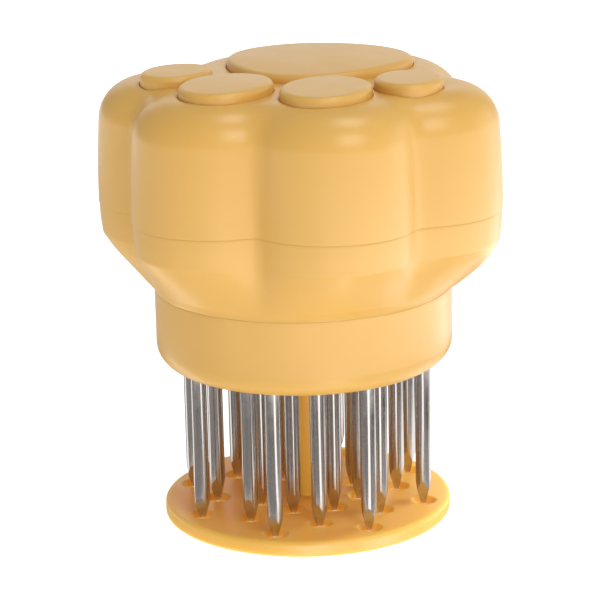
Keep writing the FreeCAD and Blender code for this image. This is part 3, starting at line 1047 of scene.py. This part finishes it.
def screwShape(size, sunk, length):
    # a turned screw with its head on top, the underside at z 0 and the shank below it
    head, thick, shank = size["headRadius"], size["headThick"], size["shankRadius"]
    if sunk:
        edge = screwForm["sunkEdge"]
        profile = [(0, thick), (head - edge, thick), (head, thick - edge), (shank, 0.0)]
    else:
        (share, fall), (rounding, depth) = screwForm["crown"], screwForm["headRound"]
        edge = screwForm["headEdge"]
        profile = [(0, thick), (head * share, thick - fall)]
        profile += roundCorner((head - rounding, thick - depth), rounding, 85, 0, 6)
        profile += [(head, edge), (head - edge, 0.0), (shank, 0.0)]
    (start, end), pitch = screwForm["thread"], screwForm["pitch"]
    z = -start
    while z > end - length:
        profile += [(shank, z), (shank - screwForm["depth"], z - pitch / 2), (shank, z - pitch)]
        z -= pitch
    narrower, point = screwForm["point"]
    profile += [(shank - narrower, point - length), (0, -length)]
    shape = newShape()
    latheSolid(shape, profile, stepsRound["small"])
    return shape


def crossCutter(size):
    # a tapered cross, the driver's recess
    shape = newShape()
    top = size["headThick"] + screwForm["crossOver"]
    bottom = size["headThick"] - size["recessDepth"]
    wide, thin = (size["headRadius"] * share for share in screwForm["cross"])

    def crossRing(reach, half, z):
        corners = []
        for c, s in ((1, 0), (0, 1), (-1, 0), (0, -1)):
            corners += [(c * x - s * y, s * x + c * y, z)
                        for x, y in ((reach, -half), (reach, half), (half, half))]
        return corners

    numbers = stack(shape, [crossRing(wide * wider, thin * thicker, z) for (wider, thicker), z
                            in zip(screwForm["crossEnds"], (bottom, top))])
    closeWithPoint(shape, numbers[0][::-1], (0, 0, bottom - screwForm["crossTip"]))
    closeWithPoint(shape, numbers[1], (0, 0, top))
    return shape


def makeScrews(name, node, body, size, head, seat, length, rings):
    flip = -1 if "down" in head else 1

    def placed(pieceName, shape):
        shape["points"] = [(x, y * flip, z * flip + seat) for x, y, z in shape["points"]]
        return buildPiece(pieceName, shape, hardwareSteel)

    piece = placed(name, screwShape(size, "sunk" in head, length))
    tool = placed(name + "Cutter", crossCutter(size))
    drillRings(piece, tool, name + "Recess", {"Own": (1, 0.0, 0.0)}, hardwareSteel)
    edgesByAngle(piece, screwForm["sharpDegrees"])
    if rings:
        spreadInRings(piece, name + "Ring", rings, hardwareSteel)
    finishPiece(piece, body, [node])


for screwName, settings in screws.items():
    makeScrews(screwName, *settings)
print("screws made")

# return spring
spring = {
    "wire": 1.0,
    "meanRadius": 5.0,
    "turns": 9.0,
    "low": 47.4,
    "high": 84.6,
    "seat": 85.1,
    "shortest": 13.2,
    "stepsPerTurn": 40,
    "sides": 14,
    "sharpDegrees": 40,
}


def makeSpring():
    tree, source, names = newTree("coilSpring", {
        "Turns": ("NodeSocketFloat", spring["turns"]),
        "Coil Radius": ("NodeSocketFloat", spring["meanRadius"] * mm),
        "Wire Radius": ("NodeSocketFloat", spring["wire"] / 2 * mm),
        "Bottom": ("NodeSocketFloat", spring["low"] * mm),
        "Height": ("NodeSocketFloat", (spring["high"] - spring["low"]) * mm),
        "Material": ("NodeSocketMaterial", None),
    })
    line = addNode(tree, "GeometryNodeCurveSpiral", {
        "Resolution": spring["stepsPerTurn"], "Rotations": source["Turns"],
        "Start Radius": source["Coil Radius"], "End Radius": source["Coil Radius"],
        "Height": source["Height"]})
    lift = addNode(tree, "ShaderNodeCombineXYZ", {"Z": source["Bottom"]})
    placed = addNode(tree, "GeometryNodeTransform", {"Geometry": line, "Translation": lift})
    wire = addNode(tree, "GeometryNodeCurvePrimitiveCircle",
                   {"Resolution": spring["sides"], "Radius": source["Wire Radius"]})
    tube = addNode(tree, "GeometryNodeCurveToMesh",
                   {"Curve": placed, "Profile Curve": wire, "Fill Caps": True})
    endTree(tree, tube, source["Material"])
    piece = addObject("returnSpring", bpy.data.meshes.new("returnSpring"))
    applyTree(piece, tree, names, {"Material": springSteel})
    edgesByAngle(piece, spring["sharpDegrees"])
    finishPiece(piece, "handle", ["return_spring"])
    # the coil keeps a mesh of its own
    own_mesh(piece)


makeSpring()

# pieces that keep their CAD shape
carriedOver = {
    "needle_carrier": innerYellow,
    "needle_clamp": innerYellow,
    "guide_bush": innerYellow,
    "stop_washer": hardwareSteel,
    "seat_washer": hardwareSteel,
}
for nodeName, material in carriedOver.items():
    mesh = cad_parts[nodeName].data
    mesh.materials.clear()
    mesh.materials.append(material)
print("inner pieces painted")

# floor, light and camera
studio = {
    "floorHalf": 4.0,
    "floorLevel": -2e-5,
    "floorTone": 0.5,
    "floorDrift": 0.985,
    "floorGlow": 1.0,
    "floorRough": 0.6,
    "floorShine": 0.2,
    "floorClouds": 3.0,
    "worldStrength": 0.38,
    "aim": (0.0, 0.0, 0.0438),
    "distance": 0.5,
    "azimuth": 15.5,
    "elevation": 15.65,
    "roll": -1.27,
    "lens": 150.0,
    "sensor": 36.0,
    "shiftX": -0.006,
    "clip": (0.01, 20),
}


def standAt(azimuth, elevation, distance):
    # azimuth 0 is in front of the toes, positive to the viewer's right
    a, e = math.radians(azimuth), math.radians(elevation)
    away = Vector((math.sin(a) * math.cos(e), -math.cos(a) * math.cos(e), math.sin(e)))
    return Vector(studio["aim"]) + away * distance


def lookAtAim(thing, roll=0.0):
    look = (Vector(studio["aim"]) - thing.location).to_track_quat("-Z", "Y").to_matrix().to_4x4()
    thing.rotation_euler = (look @ Matrix.Rotation(math.radians(roll), 4, "Z")).to_euler()


def makeFloor():
    mesh = bpy.data.meshes.new("studioFloor")
    half, level = studio["floorHalf"], studio["floorLevel"]
    corners = [(x * half, y * half, level) for x, y in ((-1, -1), (1, -1), (1, 1), (-1, 1))]
    mesh.from_pydata(corners, [], [(0, 1, 2, 3)])
    floor = addObject("studioFloor", mesh)
    material, tree, shader = newMaterial("paleTable")
    pale = (studio["floorTone"],) * 3
    dimmer = (studio["floorTone"] * studio["floorDrift"],) * 3
    setInputs(tree, shader, {
        "Base Color": twoTone(tree, objectNoise(tree, studio["floorClouds"]), pale, dimmer),
        "Roughness": studio["floorRough"], "Specular IOR Level": studio["floorShine"],
        "Emission Color": (1, 1, 1, 1), "Emission Strength": studio["floorGlow"]})
    mesh.materials.append(material)


warmWhite, white = (1.0, 0.99, 0.98), (1.0, 1.0, 1.0)
softLights = {
    # azimuth, elevation, distance, width, height, watts, colour
    "keyPanel": (45, 36, 0.65, 0.30, 0.30, 1.25, warmWhite),
    "sidePanel": (128, 8, 0.70, 0.50, 0.40, 0.6, warmWhite),
    "topPanel": (99, 74, 0.70, 0.30, 0.30, 1.1, white),
    "backPanel": (195, 17, 1.00, 1.00, 0.45, 0.9, white),
}
# Cards that only gloss sees. A kind has a profile of (radius, height) from its inner edge
# outwards, and cards of (azimuth from, to, brightness).
glossCards = {
    # a low wall round the needles, for the streaks on them
    "needle": ([(0.074, 0.0006), (0.074, 0.019)], [
        (-180, -150, 0.35), (-150, -132, 0.9), (-132, -100, 0.3), (-100, -78, 1.7),
        (-78, -40, 0.36), (-40, 0, 0.26), (0, 24, 0.28), (24, 44, 2.2), (44, 66, 0.25),
        (66, 98, 0.12), (98, 116, 0.5), (116, 136, 1.6), (136, 180, 0.3),
    ]),
    # on the table near the plate, for the needles' lower ends and the flare
    "near": ([(0.038, 0.0004), (0.0739, 0.0004)], [
        (-180, -100, 0.4), (-100, -78, 1.6), (-78, 0, 0.34), (0, 24, 0.34), (24, 44, 2.0),
        (44, 60, 0.4), (60, 98, 0.5), (98, 150, 1.6), (150, 180, 0.4),
    ]),
    # a dim ring at the plate's foot, which the ground facets see
    "foot": ([(0.0295, 0.0002), (0.0345, 0.0002)],
             [(-180, -90, 0.3), (-90, 0, 0.3), (0, 90, 0.3), (90, 180, 0.3)]),
    # farther out on the table, for the plastic's milky sheen
    "sheen": ([(0.076, 0.0004), (0.4, 0.0004)],
              [(-150, -45, 0.6), (5, 45, 2.5), (45, 150, 3.2)]),
}
cardSteps = 6


def makeCard(name, profile, first, last, glow):
    mesh = bpy.data.meshes.new(name)
    points, faces = [], []
    across = len(profile)
    for k in range(cardSteps + 1):
        turn = math.radians(first + (last - first) * k / cardSteps)
        points += [(r * math.sin(turn), -r * math.cos(turn), z) for r, z in profile]
        if k:
            for j in range(across * (k - 1), across * k - 1):
                faces.append((j, j + across, j + across + 1, j + 1))
    mesh.from_pydata(points, [], faces)
    card = addObject(name, mesh)
    material, tree, shader = newMaterial(name + "Glow")
    setInputs(tree, shader, {"Base Color": (0, 0, 0, 1), "Specular IOR Level": 0,
                             "Emission Color": (1, 0.97, 0.95, 1), "Emission Strength": glow})
    mesh.materials.append(material)
    card.visible_camera = card.visible_diffuse = card.visible_shadow = False
    card.visible_transmission = card.visible_volume_scatter = False


def makeLights():
    for name, (azimuth, elevation, distance, width, height, watts, colour) in softLights.items():
        light = bpy.data.lights.new(name, "AREA")
        light.shape = "RECTANGLE"
        light.size, light.size_y = width, height
        light.energy, light.color = watts, colour
        lamp = addObject(name, light)
        lamp.location = standAt(azimuth, elevation, distance)
        lookAtAim(lamp)
    world = bpy.data.worlds.new("softRoom")
    bpy.context.scene.world = world
    world.use_nodes = True
    setInputs(world.node_tree, world.node_tree.nodes["Background"],
              {"Color": (1, 1, 1, 1), "Strength": studio["worldStrength"]})


plateOnly = ["guardPlate"]
fillLamps = {
    # small lamps where the softboxes hardly reach: place, watts, size, the pieces each lights,
    # the pieces that shade it, and whether it only makes gloss
    "plateFill": ((0.058, 0.016, 0.030), 0.055, 0.012, plateOnly,
                  ["guardPlate", "guidePost", "needles"], False),
    "postFill": ((0.018, -0.065, 0.022), 0.038, 0.012, ["guidePost"], plateOnly, False),
    "rimGlossFront": ((0.026, -0.070, -0.012), 0.085, 0.015, plateOnly, plateOnly, True),
    "rimGlossRight": ((0.068, -0.032, -0.012), 0.11, 0.015, plateOnly, plateOnly, True),
    "rimGlossBack": ((0.068, 0.032, -0.012), 0.030, 0.015, plateOnly, plateOnly, True),
}


def groupOf(name, pieces):
    group = bpy.data.collections.new(name)
    for piece in pieces:
        group.objects.link(bpy.data.objects[piece])
    return group


def makeFillLamps():
    for name, (place, watts, size, lights, shades, glossOnly) in fillLamps.items():
        light = bpy.data.lights.new(name, "POINT")
        light.energy, light.shadow_soft_size = watts, size
        lamp = addObject(name, light)
        lamp.location = place
        lamp.visible_camera = False
        lamp.visible_glossy = glossOnly
        lamp.visible_diffuse = lamp.visible_transmission = not glossOnly
        lamp.light_linking.receiver_collection = groupOf(name + "Lights", lights)
        lamp.light_linking.blocker_collection = groupOf(name + "Shades", shades)


def makeCamera():
    data = bpy.data.cameras.new("productCamera")
    data.lens, data.sensor_width = studio["lens"], studio["sensor"]
    data.shift_x = studio["shiftX"]
    data.clip_start, data.clip_end = studio["clip"]
    camera = addObject("productCamera", data)
    camera.location = standAt(studio["azimuth"], studio["elevation"], studio["distance"])
    lookAtAim(camera, studio["roll"])
    bpy.context.scene.camera = camera


makeFloor()
for kind, (profile, cards) in glossCards.items():
    for number, arc in enumerate(cards):
        makeCard("%sCard%02d" % (kind, number), profile, *arc)
makeLights()
makeFillLamps()
makeCamera()
bpy.context.scene.view_settings.view_transform = "Standard"
print("studio ready")
